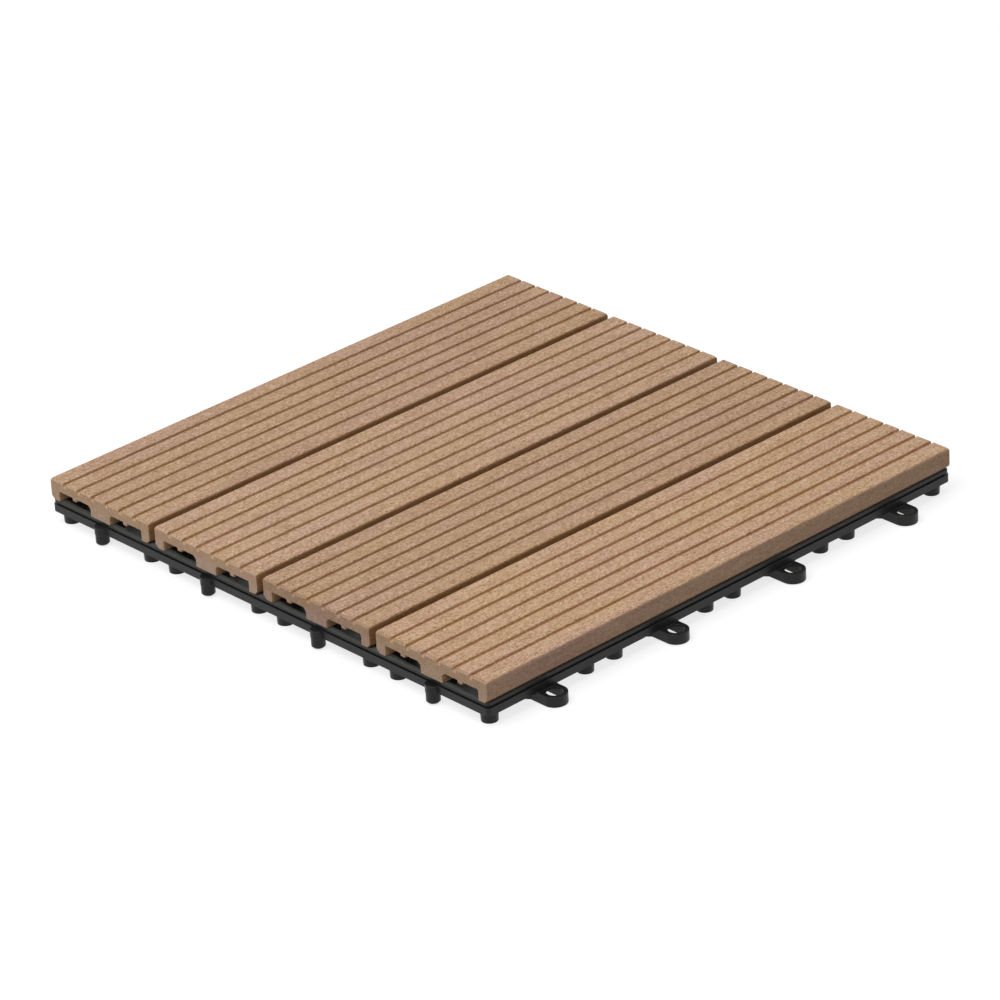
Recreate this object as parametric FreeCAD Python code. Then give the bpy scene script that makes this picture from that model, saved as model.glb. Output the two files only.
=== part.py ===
"""Interlocking deck tile: four grooved slats screwed from below to a moulded base grid.

Millimetres. The origin is the middle of the tile on the ground, under its middle foot.
X runs along the slats, Y across them and Z up. Pegs stand under the -X and +Y sides, and
loops reach out under the +X and -Y sides, so that like tiles clip together at one pitch.
"""
import FreeCAD, Part
import os

from FreeCAD import Vector

# Tile
TILE_PITCH = 300.0          # centre to centre of two tiles that are clipped together
JOINT_GAP = 4.0             # open joint between two slats, and between two tiles
SLAT_COUNT = 4

# Slat section
SLAT_THICK = 11.0
PLATE_THICK = 5.7           # walking plate above the two hollows
LEG_WIDTH = 6.0             # outer legs
CORE_WIDTH = 14.0           # middle leg, which takes the screws
CORE_FLARE = 1.5            # thickening where the middle leg meets the plate, as wide as it is high
MID_RIB_WIDTH = 3.0         # low rib on each hollow's ceiling
MID_RIB_DROP = 1.4
GROOVE_COUNT = 6
GROOVE_PITCH = 10.0
GROOVE_WIDTH = 1.9
GROOVE_DEPTH = 1.6
GROOVE_LIP = 0.25           # chamfer on a groove's mouth
EDGE_ROUND = 1.2            # rounding of the two long top edges
LEG_CHAMFER = 2.0           # lower outer edge of the outer legs

# Base grid
BASE_HEIGHT = 12.0          # ground to the underside of the slats
RAIL_DEPTH = 6.2            # height of the outer rail
RAIL_WALL = 3.0
RAIL_CORNER = 2.0           # rounding of the rail's upright corners
LIP_DEPTH = 1.3             # upper band of the rail, just under the slats
LIP_SETBACK = 0.3
LINE_DEPTH = 1.1            # height of the shadow line between the rail's two bands
LINE_SETBACK = 1.2
RIB_DEPTH = 6.0
RIB_WALL = 2.2
GRID_CELLS = 10             # cells each way inside the inner frame
CHANNEL_WIDTH = 6.4         # open channel between the rail and the inner frame

# Feet
FOOT_RADIUS = 3.9           # at the ground
FOOT_DRAFT = 0.4            # growth of the radius up to the ribs
FOOT_SPREAD = 8.8           # edge feet stand in pairs, this far each side of a slat joint
FOOT_CELLS = (-3, 0, 3)     # grid cells from the middle to the middle feet, each way

# Pegs and loops that clip tiles together
PEG_RADIUS = 3.3
PEG_INSET = 0.3             # peg axis inside the plane of its own slat edge
PEG_TIP = 0.8               # chamfer on the peg's end
PEG_ROOT_STEP = 0.2         # growth of the radius where the peg's root runs up the rail's face
GROUND_GAP = 0.5            # pegs and loops end this far above the ground
LOOP_CLEARANCE = 0.6        # radial room round a neighbour's peg
LOOP_WALL = 2.0
LOOP_TOP_GAP = 0.3          # room between a loop and the rail that it passes under
LOOP_COLLAR = 1.1           # closed upper part of the loop's hole
LOOP_SLOT_REACH = 5.6       # the slot under the collar runs this far under the tile
LOOP_FLARE = 3.6            # widening of the loop's root at the inner frame
LOOP_NECK = 5.0             # straight part of the root inside the slat edge

# Screws
SCREW_CELLS = (-4, -1, 1, 4)    # grid cells from the middle to each screw, along a slat
SCREW_RADIUS = 1.75
SCREW_CLEARANCE = 0.35      # round the shank, in the base
PILOT_CLEARANCE = 0.05      # round the shank, in the slat
PILOT_SPARE = 0.8           # depth of the pilot hole past the screw's tip
SCREW_BITE = 7.2            # length held in the slat
SCREW_POINT = 2.4
HEAD_RADIUS = 3.6
HEAD_HEIGHT = 1.8
HEAD_CHAMFER = 0.6
RECESS_WIDTH = 0.9
RECESS_SPAN = 4.4
RECESS_DEPTH = 1.0
BOSS_RADIUS = 4.6
SEAM_TURN = 45              # degrees, keeps the seam of a boss's round wall off the ribs

# Places that follow from the sizes
SLAT_PITCH = TILE_PITCH / SLAT_COUNT
SLAT_WIDTH = SLAT_PITCH - JOINT_GAP
SLAT_LENGTH = TILE_PITCH - JOINT_GAP
EDGE = SLAT_LENGTH / 2                      # plane of the slat edges and ends
TOP = BASE_HEIGHT + SLAT_THICK
RAIL_BOTTOM = BASE_HEIGHT - RAIL_DEPTH
RIB_BOTTOM = BASE_HEIGHT - RIB_DEPTH
LIP_BOTTOM = BASE_HEIGHT - LIP_DEPTH
BAND_TOP = LIP_BOTTOM - LINE_DEPTH
RAIL_INSIDE = EDGE - RAIL_WALL
FRAME_OUTSIDE = RAIL_INSIDE - CHANNEL_WIDTH
FRAME_LINE = FRAME_OUTSIDE - RIB_WALL / 2
GRID_PITCH = 2 * FRAME_LINE / GRID_CELLS
CHANNEL_LINE = (RAIL_INSIDE + FRAME_OUTSIDE) / 2
LOOP_BORE = PEG_RADIUS + LOOP_CLEARANCE
LOOP_RADIUS = LOOP_BORE + LOOP_WALL
LOOP_AXIS = EDGE + JOINT_GAP + PEG_INSET    # a neighbour's peg axis, seen from this tile
LOOP_TOP = RAIL_BOTTOM - LOOP_TOP_GAP
SCREW_TIP = BASE_HEIGHT + SCREW_BITE


def centred(count, pitch):
    """Places of evenly spaced things about the middle."""
    return [(i - (count - 1) / 2) * pitch for i in range(count)]


SLAT_CENTRES = centred(SLAT_COUNT, SLAT_PITCH)
SLAT_JOINTS = centred(SLAT_COUNT - 1, SLAT_PITCH)
FOOT_PLACES = [joint + side * FOOT_SPREAD for joint in SLAT_JOINTS for side in (-1, 1)]


def block(x0, x1, y0, y1, z0, z1):
    """A box between two corners."""
    return Part.makeBox(x1 - x0, y1 - y0, z1 - z0, Vector(x0, y0, z0))


def cylinder(x, y, z0, z1, radius):
    """An upright cylinder."""
    return Part.makeCylinder(radius, z1 - z0, Vector(x, y, z0))


def cone(x, y, z0, z1, radius0, radius1):
    """An upright cone, from its lower radius to its upper one."""
    return Part.makeCone(radius0, radius1, z1 - z0, Vector(x, y, z0))


def prism(points, z0, z1):
    """An upright prism over a closed outline given as x, y pairs."""
    corners = [Vector(x, y, z0) for x, y in points]
    face = Part.Face(Part.makePolygon(corners + corners[:1]))
    return face.extrude(Vector(0, 0, z1 - z0))


def rounded_square(half, radius, z0, z1):
    """A square prism with rounded upright edges."""
    square = block(-half, half, -half, half, z0, z1)
    upright = [edge for edge in square.Edges if abs(edge.tangentAt(0).z) > 0.5]
    return square.makeFillet(radius, upright)


def turned(shape, quarter_turns):
    """A copy turned about the tile's middle by quarter turns."""
    copy = shape.copy()
    copy.rotate(Vector(0, 0, 0), Vector(0, 0, 1), 90 * quarter_turns)
    return copy


def slat_section(centre):
    """The slat's outline in the YZ plane, at its -X end."""
    half = SLAT_WIDTH / 2
    ceiling = TOP - PLATE_THICK
    core = CORE_WIDTH / 2
    hollow_edge = half - LEG_WIDTH
    rib = (core + hollow_edge) / 2

    right = [
        (core, BASE_HEIGHT),
        (core, ceiling - CORE_FLARE),
        (core + CORE_FLARE, ceiling),
        (rib - MID_RIB_WIDTH / 2, ceiling),
        (rib - MID_RIB_WIDTH / 2, ceiling - MID_RIB_DROP),
        (rib + MID_RIB_WIDTH / 2, ceiling - MID_RIB_DROP),
        (rib + MID_RIB_WIDTH / 2, ceiling),
        (hollow_edge, ceiling),
        (hollow_edge, BASE_HEIGHT),
        (half - LEG_CHAMFER, BASE_HEIGHT),
        (half, BASE_HEIGHT + LEG_CHAMFER),
        (half, TOP - EDGE_ROUND),
    ]
    left = [(-y, z) for y, z in reversed(right)]

    side = GROOVE_WIDTH / 2
    top = [(half - EDGE_ROUND, TOP)]
    for groove in reversed(centred(GROOVE_COUNT, GROOVE_PITCH)):
        top += [
            (groove + side + GROOVE_LIP, TOP),
            (groove + side, TOP - GROOVE_LIP),
            (groove + side, TOP - GROOVE_DEPTH),
            (groove - side, TOP - GROOVE_DEPTH),
            (groove - side, TOP - GROOVE_LIP),
            (groove - side - GROOVE_LIP, TOP),
        ]
    top.append((EDGE_ROUND - half, TOP))

    def at(y, z):
        return Vector(-EDGE, centre + y, z)

    def corner(sign):
        diagonal = EDGE_ROUND * (1 - 0.5 ** 0.5)
        ends = [at(sign * half, TOP - EDGE_ROUND), at(sign * (half - EDGE_ROUND), TOP)]
        middle = at(sign * (half - diagonal), TOP - diagonal)
        return Part.Arc(ends[0], middle, ends[1]).toShape()

    lower = Part.makePolygon([at(y, z) for y, z in left + right])
    upper = Part.makePolygon([at(y, z) for y, z in top])
    return Part.Wire(lower.Edges + [corner(1)] + upper.Edges + [corner(-1)])


def make_slat(centre):
    """One grooved, open-bottomed slat with its pilot holes."""
    slat = Part.Face(slat_section(centre)).extrude(Vector(SLAT_LENGTH, 0, 0))
    pilots = [
        cylinder(line * GRID_PITCH, centre, BASE_HEIGHT, SCREW_TIP + PILOT_SPARE,
                 SCREW_RADIUS + PILOT_CLEARANCE)
        for line in SCREW_CELLS
    ]
    return slat.cut(pilots)


def make_grid():
    """The inner frame and its crossing ribs, as one plate with square cells."""
    half_wall = RIB_WALL / 2
    lines = centred(GRID_CELLS + 1, GRID_PITCH)
    spans = [(a + half_wall, b - half_wall) for a, b in zip(lines, lines[1:])]
    plate = block(-FRAME_OUTSIDE, FRAME_OUTSIDE, -FRAME_OUTSIDE, FRAME_OUTSIDE, RIB_BOTTOM, BASE_HEIGHT)
    wires = [face.OuterWire for face in plate.Faces if abs(face.CenterOfMass.z - RIB_BOTTOM) < 1e-6]
    for x0, x1 in spans:
        for y0, y1 in spans:
            corners = [Vector(x, y, RIB_BOTTOM) for x, y in ((x0, y0), (x1, y0), (x1, y1), (x0, y1))]
            wires.append(Part.makePolygon(corners + corners[:1]))
    face = Part.makeFace(Part.Compound(wires), "Part::FaceMakerBullseye")
    return face.extrude(Vector(0, 0, RIB_DEPTH))


def make_rail():
    """The outer rail: two bands with a shadow line between them."""
    band = rounded_square(EDGE, RAIL_CORNER, RAIL_BOTTOM, BAND_TOP)
    line = rounded_square(EDGE - LINE_SETBACK, RAIL_CORNER, BAND_TOP, LIP_BOTTOM)
    lip = rounded_square(EDGE - LIP_SETBACK, RAIL_CORNER, LIP_BOTTOM, BASE_HEIGHT)
    inside = block(-RAIL_INSIDE, RAIL_INSIDE, -RAIL_INSIDE, RAIL_INSIDE, RAIL_BOTTOM, BASE_HEIGHT)
    return band.fuse([line, lip]).cut(inside).removeSplitter()


def bridge(place, half_width, z0=RAIL_BOTTOM):
    """A solid tie across the -Y channel, from the inner frame to the rail."""
    return block(place - half_width, place + half_width, -EDGE + RAIL_WALL / 2, -FRAME_LINE, z0,
                 BASE_HEIGHT)


def foot(x, y):
    """A tapered foot that ends inside the ribs."""
    return cone(x, y, 0, RIB_BOTTOM + RIB_WALL, FOOT_RADIUS, FOOT_RADIUS + FOOT_DRAFT)


def make_feet():
    """Pairs of feet along each side, one in each corner, and the middle ones."""
    half_width = FOOT_RADIUS + FOOT_DRAFT
    side = []
    for place in FOOT_PLACES:
        side += [foot(place, -CHANNEL_LINE), bridge(place, half_width)]
    side.append(foot(-CHANNEL_LINE, -CHANNEL_LINE))
    corner_end = -EDGE + RAIL_WALL / 2
    side.append(block(corner_end, -FRAME_LINE, corner_end, -FRAME_LINE, RIB_BOTTOM, BASE_HEIGHT))
    feet = [turned(shape, turn) for turn in range(4) for shape in side]
    feet += [foot(i * GRID_PITCH, j * GRID_PITCH) for i in FOOT_CELLS for j in FOOT_CELLS]
    return feet


def make_peg(place):
    """A peg on the -Y side, whose root runs up the rail's outer face as a half round."""
    axis = -EDGE + PEG_INSET
    shank = cylinder(place, axis, GROUND_GAP + PEG_TIP, RAIL_BOTTOM, PEG_RADIUS)
    root = cylinder(place, axis, RAIL_BOTTOM, BAND_TOP, PEG_RADIUS + PEG_ROOT_STEP)
    tip = cone(place, axis, GROUND_GAP, GROUND_GAP + PEG_TIP, PEG_RADIUS - PEG_TIP, PEG_RADIUS)
    return [shank, root, tip, bridge(place, PEG_RADIUS)]


def make_loop(place):
    """A loop on the -Y side and the tools that cut its hole and slot."""
    root = -FRAME_OUTSIDE
    neck = -EDGE + LOOP_NECK
    outline = [
        (place - LOOP_RADIUS - LOOP_FLARE, root),
        (place - LOOP_RADIUS, neck),
        (place - LOOP_RADIUS, -LOOP_AXIS),
        (place + LOOP_RADIUS, -LOOP_AXIS),
        (place + LOOP_RADIUS, neck),
        (place + LOOP_RADIUS + LOOP_FLARE, root),
    ]
    arm = prism(outline, GROUND_GAP, LOOP_TOP)
    eye = cylinder(place, -LOOP_AXIS, GROUND_GAP, LOOP_TOP, LOOP_RADIUS)
    buried = [
        outline[0],
        outline[1],
        (place - LOOP_RADIUS, -EDGE + RAIL_WALL / 2),
        (place + LOOP_RADIUS, -EDGE + RAIL_WALL / 2),
        outline[4],
        outline[5],
    ]
    post = prism(buried, GROUND_GAP, BASE_HEIGHT)
    ledge = block(place - LOOP_RADIUS, place + LOOP_RADIUS, -EDGE, -EDGE + RAIL_WALL, GROUND_GAP,
                  RAIL_BOTTOM)
    tie = bridge(place, LOOP_RADIUS, RIB_BOTTOM)
    hole = cylinder(place, -LOOP_AXIS, 0, RAIL_BOTTOM, LOOP_BORE)
    slot = block(place - LOOP_BORE, place + LOOP_BORE, -LOOP_AXIS, -EDGE + LOOP_SLOT_REACH, 0,
                 LOOP_TOP - LOOP_COLLAR)
    return [arm, eye, post, ledge, tie], [hole, slot]


def make_screwed_grid():
    """The grid with a bored boss for every screw."""
    bosses = []
    holes = []
    for centre in SLAT_CENTRES:
        for line in SCREW_CELLS:
            x = line * GRID_PITCH
            boss = cylinder(x, centre, RIB_BOTTOM, BASE_HEIGHT, BOSS_RADIUS)
            boss.rotate(Vector(x, centre, 0), Vector(0, 0, 1), SEAM_TURN)
            bosses.append(boss)
            holes.append(cylinder(x, centre, RIB_BOTTOM, BASE_HEIGHT, SCREW_RADIUS + SCREW_CLEARANCE))
    return make_grid().fuse(bosses).cut(holes)


def make_base():
    """The whole base, one moulding."""
    solids = [make_rail()] + make_feet()
    holes = []
    for place in SLAT_CENTRES:
        peg = make_peg(place)
        solids += [turned(shape, turn) for turn in (-1, 2) for shape in peg]
        loop, cutters = make_loop(place)
        solids += [turned(shape, turn) for turn in (0, 1) for shape in loop]
        holes += [turned(shape, turn) for turn in (0, 1) for shape in cutters]
    return make_screwed_grid().fuse(solids).cut(holes).removeSplitter()


def make_screw(x, y):
    """A pan-head screw, driven up into a slat from under the base."""
    under = RIB_BOTTOM - HEAD_HEIGHT
    rim = cylinder(x, y, under + HEAD_CHAMFER, RIB_BOTTOM, HEAD_RADIUS)
    dome = cone(x, y, under, under + HEAD_CHAMFER, HEAD_RADIUS - HEAD_CHAMFER, HEAD_RADIUS)
    shank = cylinder(x, y, RIB_BOTTOM, SCREW_TIP - SCREW_POINT, SCREW_RADIUS)
    point = cone(x, y, SCREW_TIP - SCREW_POINT, SCREW_TIP, SCREW_RADIUS, SCREW_RADIUS / 6)
    long, thin = RECESS_SPAN / 2, RECESS_WIDTH / 2
    recess = [
        block(x - long, x + long, y - thin, y + thin, under, under + RECESS_DEPTH),
        block(x - thin, x + thin, y - long, y + long, under, under + RECESS_DEPTH),
    ]
    return rim.fuse([dome, shank, point]).cut(recess).removeSplitter()


os.makedirs("parts", exist_ok=True)

base = make_base()
base.exportStep("parts/base_grid.step")
print("base_grid", len(base.Solids), base.isValid(), round(base.Volume))

for number, centre in enumerate(SLAT_CENTRES, start=1):
    slat = make_slat(centre)
    slat.exportStep(f"parts/slat_{number}.step")
    print(f"slat_{number}", len(slat.Solids), slat.isValid(), round(slat.Volume))

screws = Part.Compound([
    make_screw(line * GRID_PITCH, centre) for centre in SLAT_CENTRES for line in SCREW_CELLS
])
screws.exportStep("parts/screws.step")
print("screws", len(screws.Solids), screws.isValid(), round(screws.Volume))
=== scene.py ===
"""Dresses an interlocking deck tile: four wood-plastic slats on a moulded base grid.

Metres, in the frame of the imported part. X runs along the slats, Y across them and Z up, and
the origin is on the ground under the middle foot.
"""
from __future__ import annotations

import logging
import math
from collections.abc import Mapping
from dataclasses import dataclass, field
from enum import Enum
from typing import Any

import bmesh
import bpy
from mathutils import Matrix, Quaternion, Vector

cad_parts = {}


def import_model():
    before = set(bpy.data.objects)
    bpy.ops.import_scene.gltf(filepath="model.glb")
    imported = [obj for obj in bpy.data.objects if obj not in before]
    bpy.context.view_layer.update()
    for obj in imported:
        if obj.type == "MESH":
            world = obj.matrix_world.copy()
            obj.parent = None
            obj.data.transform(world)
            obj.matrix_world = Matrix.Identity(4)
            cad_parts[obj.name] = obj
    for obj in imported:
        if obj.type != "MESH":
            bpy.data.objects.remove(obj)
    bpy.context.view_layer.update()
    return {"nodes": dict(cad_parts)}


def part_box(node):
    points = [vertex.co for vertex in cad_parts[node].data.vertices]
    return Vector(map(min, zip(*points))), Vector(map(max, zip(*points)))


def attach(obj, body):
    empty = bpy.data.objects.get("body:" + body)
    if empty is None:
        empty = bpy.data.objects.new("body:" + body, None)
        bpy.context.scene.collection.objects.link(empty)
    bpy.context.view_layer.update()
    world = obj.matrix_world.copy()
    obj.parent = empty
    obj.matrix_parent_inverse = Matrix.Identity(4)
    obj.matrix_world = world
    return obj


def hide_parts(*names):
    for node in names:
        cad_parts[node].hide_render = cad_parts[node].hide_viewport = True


LOG = logging.getLogger("deck_tile")

MM = 0.001
BODY = "root"
SHARP_ANGLE = math.radians(34)
WELD = 0.002

Socket = bpy.types.NodeSocket
Inputs = Mapping[str | int, Any]
Triple = tuple[float, float, float]
Colour = Triple
Pair = tuple[float, float]

WHITE = (1.0, 1.0, 1.0)
INWARD = "inward"


class SlatTone(Enum):
    """Colours of the four slats, which differ a little, and the factors that give their ends."""

    HONEY = ((0.500, 0.328, 0.210), (0.90, 0.92, 0.94))
    ROSE = ((0.450, 0.294, 0.188), (0.92, 0.93, 0.97))
    SAND = ((0.480, 0.319, 0.207), (1.06, 1.07, 1.10))
    FAWN = ((0.458, 0.300, 0.195), (1.10, 1.12, 1.14))


@dataclass(frozen=True)
class Grain:
    """How a noise pattern is built.

    Attributes:
        stretch: grains to the millimetre along each axis.
        detail: how many finer octaves it has.
        roughness: how strong those are.
    """

    stretch: Triple
    detail: float = 3.0
    roughness: float = 0.55


class Pattern(Enum):
    """The noise patterns of all the materials."""

    STREAK = Grain((0.045, 1.1, 1.1), 6.0, 0.62)
    FIBRE = Grain((0.26, 3.6, 3.6), 4.0, 0.6)
    SPECK = Grain((0.72, 1.45, 1.45), 3.0, 0.7)
    MOTTLE = Grain((0.04, 0.16, 0.16))
    CLOUD = Grain((0.012, 0.075, 0.075), 2.0)
    SAW_GRIT = Grain((2.6, 2.6, 2.6))
    MELT_FLOW = Grain((0.035, 0.035, 0.05), 4.0, 0.6)
    MOULD_GRAIN = Grain((2.2, 2.2, 2.2), 3.0, 0.6)
    SINK_MARKS = Grain((0.12, 0.12, 0.12), 1.0)
    PLATING_PATCHES = Grain((0.5, 0.5, 0.5))
    PLATING_GRAIN = Grain((5.0, 5.0, 5.0))
    FLOOR_PATCHES = Grain((0.004, 0.004, 0.004), 2.0)


class Graph:
    """Adds and joins the nodes of one tree."""

    def __init__(self, tree: bpy.types.NodeTree) -> None:
        """Takes over a shader or geometry node tree."""
        self.tree = tree

    @staticmethod
    def pick(sockets: Any, key: str | int) -> Socket:
        """Finds a socket by its name, or by its place among those in use."""
        in_use = [socket for socket in sockets if socket.enabled]
        return in_use[key] if isinstance(key, int) else next(s for s in in_use if s.name == key)

    def fill(self, node: bpy.types.Node, inputs: Inputs) -> bpy.types.Node:
        """Sets or joins a node's inputs.

        Args:
            node: the node.
            inputs: values or sockets for them. A colour is given without its alpha.

        Returns:
            The same node.
        """
        for key, value in inputs.items():
            socket = self.pick(node.inputs, key)
            if isinstance(value, Socket):
                self.tree.links.new(value, socket)
            elif socket.type == "RGBA":
                socket.default_value = (*value, 1.0)
            else:
                socket.default_value = value
        return node

    def node(self, kind: str, inputs: Inputs | None = None, **settings: Any) -> bpy.types.Node:
        """Adds a node.

        Args:
            kind: Blender's name for the node.
            inputs: values or sockets for its inputs.
            settings: the node's own settings.

        Returns:
            The node.
        """
        made = self.tree.nodes.new(kind)
        for name, setting in settings.items():
            setattr(made, name, setting)
        return self.fill(made, inputs or {})

    def out(self, kind: str, inputs: Inputs | None = None, output: str | int = 0,
            **settings: Any) -> Socket:
        """Adds a node, as node does, and returns one of its outputs."""
        return self.pick(self.node(kind, inputs, **settings).outputs, output)

    def maths(self, operation: str, first: Any, *others: Any) -> Socket:
        """Adds a calculation on numbers, or a row of like ones.

        Args:
            operation: such as ADD or MULTIPLY.
            first: a number or socket.
            others: what is added to it, multiplied with it and so on.

        Returns:
            The result.
        """
        if not others:
            return self.out("ShaderNodeMath", {0: first}, operation=operation)
        for other in others:
            first = self.out("ShaderNodeMath", {0: first, 1: other}, operation=operation)
        return first

    def vector(self, operation: str, inputs: Inputs, output: str | int = 0) -> Socket:
        """Adds a calculation on vectors."""
        return self.out("ShaderNodeVectorMath", inputs, output, operation=operation)

    def times(self, *values: Any) -> Socket:
        """The product of some numbers."""
        return self.maths("MULTIPLY", *values)

    def xyz(self, **parts: Any) -> Socket:
        """A vector from its X, Y and Z, which are 0 where they aren't given."""
        return self.out("ShaderNodeCombineXYZ", parts)

    def part(self, vector: Socket, axis: str) -> Socket:
        """The X, Y or Z of a vector."""
        return self.out("ShaderNodeSeparateXYZ", {0: vector}, axis)

    def ramp(self, value: Socket, start: float, end: float, low: float = 0.0,
             high: float = 1.0) -> Socket:
        """Turns the values from start to end smoothly into those from low to high."""
        inputs = {"Value": value, "From Min": start, "From Max": end, "To Min": low, "To Max": high}
        return self.out("ShaderNodeMapRange", inputs, interpolation_type="SMOOTHSTEP")

    def blend(self, share: Any, first: Any, second: Any, mode: str = "MIX") -> Socket:
        """Mixes two colours, by the share of the second."""
        inputs = {"Factor": share, "A": first, "B": second}
        return self.out("ShaderNodeMix", inputs, "Result", data_type="RGBA", blend_type=mode)

    def noise(self, place: Socket, pattern: Pattern) -> Socket:
        """Adds a noise pattern.

        Args:
            place: coordinates in millimetres.
            pattern: which one.

        Returns:
            Noise from 0 to 1.
        """
        grain = pattern.value
        stretched = self.vector("MULTIPLY", {0: place, 1: grain.stretch})
        return self.out("ShaderNodeTexNoise", {
            "Vector": stretched, "Scale": 1.0, "Detail": grain.detail,
            "Roughness": grain.roughness,
        })

    def swing(self, noise: Socket, amount: float) -> Socket:
        """Noise from 0 to 1 made into noise about zero, with its whole range."""
        return self.times(self.maths("SUBTRACT", noise, 0.5), amount)

    def join(self, *parts: Socket) -> Socket:
        """Puts geometries together.

        Args:
            parts: the geometries.

        Returns:
            All of them as one.
        """
        joined = self.node("GeometryNodeJoinGeometry")
        for part in parts:
            self.tree.links.new(part, joined.inputs[0])
        return joined.outputs[0]

    def cut(self, body: Socket, tool: Socket) -> Socket:
        """Cuts one mesh out of another.

        Args:
            body: what is cut.
            tool: what is taken out of it.

        Returns:
            What is left.
        """
        made = self.node("GeometryNodeMeshBoolean", operation="DIFFERENCE", solver="EXACT")
        self.tree.links.new(body, made.inputs[0])
        self.tree.links.new(tool, made.inputs[1])
        return self.pick(made.outputs, "Mesh")

    def bump(self, relief: Socket, depth: float, inputs: Inputs | None = None) -> Socket:
        """Turns relief into a normal, where 1 stands for the depth in mm."""
        inputs = {"Strength": 1.0, "Distance": depth * MM, "Height": relief, **(inputs or {})}
        return self.out("ShaderNodeBump", inputs)


def scaled(parts: Triple, *factors: float) -> Triple:
    """A colour or place times one factor, or times one for each of its parts."""
    return tuple(part * factor for part, factor in zip(parts, factors * 3))


@dataclass(frozen=True)
class Finish:
    """What all finishes share.

    Attributes:
        name: the material's name.
    """

    name: str

    def start(self) -> tuple[bpy.types.Material, Graph, Socket, bpy.types.Node]:
        """Makes an empty material.

        Returns:
            The material, its graph, its coordinates in millimetres and its shader.
        """
        material = bpy.data.materials.new(self.name)
        material.use_nodes = True
        material.node_tree.nodes.clear()
        graph = Graph(material.node_tree)
        place = graph.out("ShaderNodeTexCoord", output="Object")
        place = graph.vector("SCALE", {"Vector": place, "Scale": 1 / MM})
        shader = graph.node("ShaderNodeBsdfPrincipled")
        graph.node("ShaderNodeOutputMaterial", {"Surface": shader.outputs[0]})
        return material, graph, place, shader


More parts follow.
